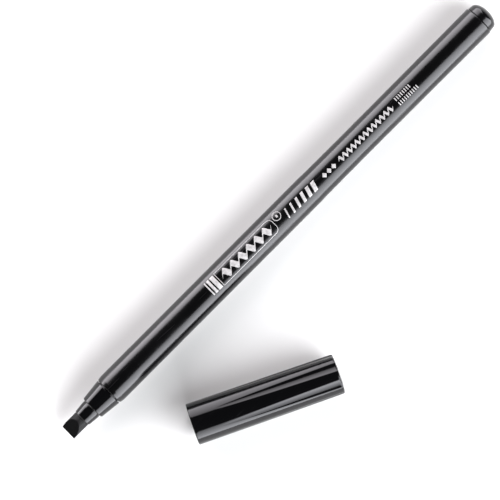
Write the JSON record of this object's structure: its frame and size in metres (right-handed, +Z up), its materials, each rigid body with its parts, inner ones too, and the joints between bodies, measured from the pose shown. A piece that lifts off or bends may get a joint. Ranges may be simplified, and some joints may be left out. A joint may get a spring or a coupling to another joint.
{
  "type": "calligraphy marker",
  "caption": "Slim black calligraphy marker with a broad chisel-cut fibre nib, lying uncapped beside its fluted push-on cap.",
  "frame": {"origin": "middle of the foot of the box around the pen and its cap, on the table", "axes": "+X along the pen from the nib to the tail plug, +Z up from the table, the cap on the -Y side"},
  "size_m": [0.1652, 0.0512, 0.0119],
  "materials": {
    "nib_fibre": "pressed fibre, dark grey with ink, black and damp on the bevels",
    "gloss_black": "high-gloss moulded black plastic",
    "barrel_black": "satin-gloss moulded black plastic with a pale printed pattern",
    "print_white": "thin matt pad-printed ink",
    "cap_black": "high-gloss moulded black plastic",
    "inked_fibre": "fibre soaked in black ink",
    "clear_film": "thin clear film",
    "liner_plastic": "milky natural polyethylene"
  },
  "bodies": {
    "pen": {"nib": "nib_fibre", "nib_collar": "gloss_black", "nib_holder": "gloss_black", "barrel": "barrel_black", "tail_plug": "barrel_black"},
    "ink_core": {"ink_reservoir": "inked_fibre", "reservoir_wrap": "clear_film"},
    "cap": {"cap_shell": "cap_black", "cap_liner": "liner_plastic"}
  },
  "joints": [
    {"name": "cap_push", "type": "slide", "parent": "pen", "child": "ink_core", "axis": [1, 0, 0], "range_m": [0, 0.042]},
    {"name": "cap_swing", "type": "hinge", "parent": "ink_core", "child": "cap", "pos_m": [-0.06852, 0.01282, 0.00455], "axis": [-0.0261, -0.0952, -0.9951], "range_deg": [0, 154.31]}
  ]
}
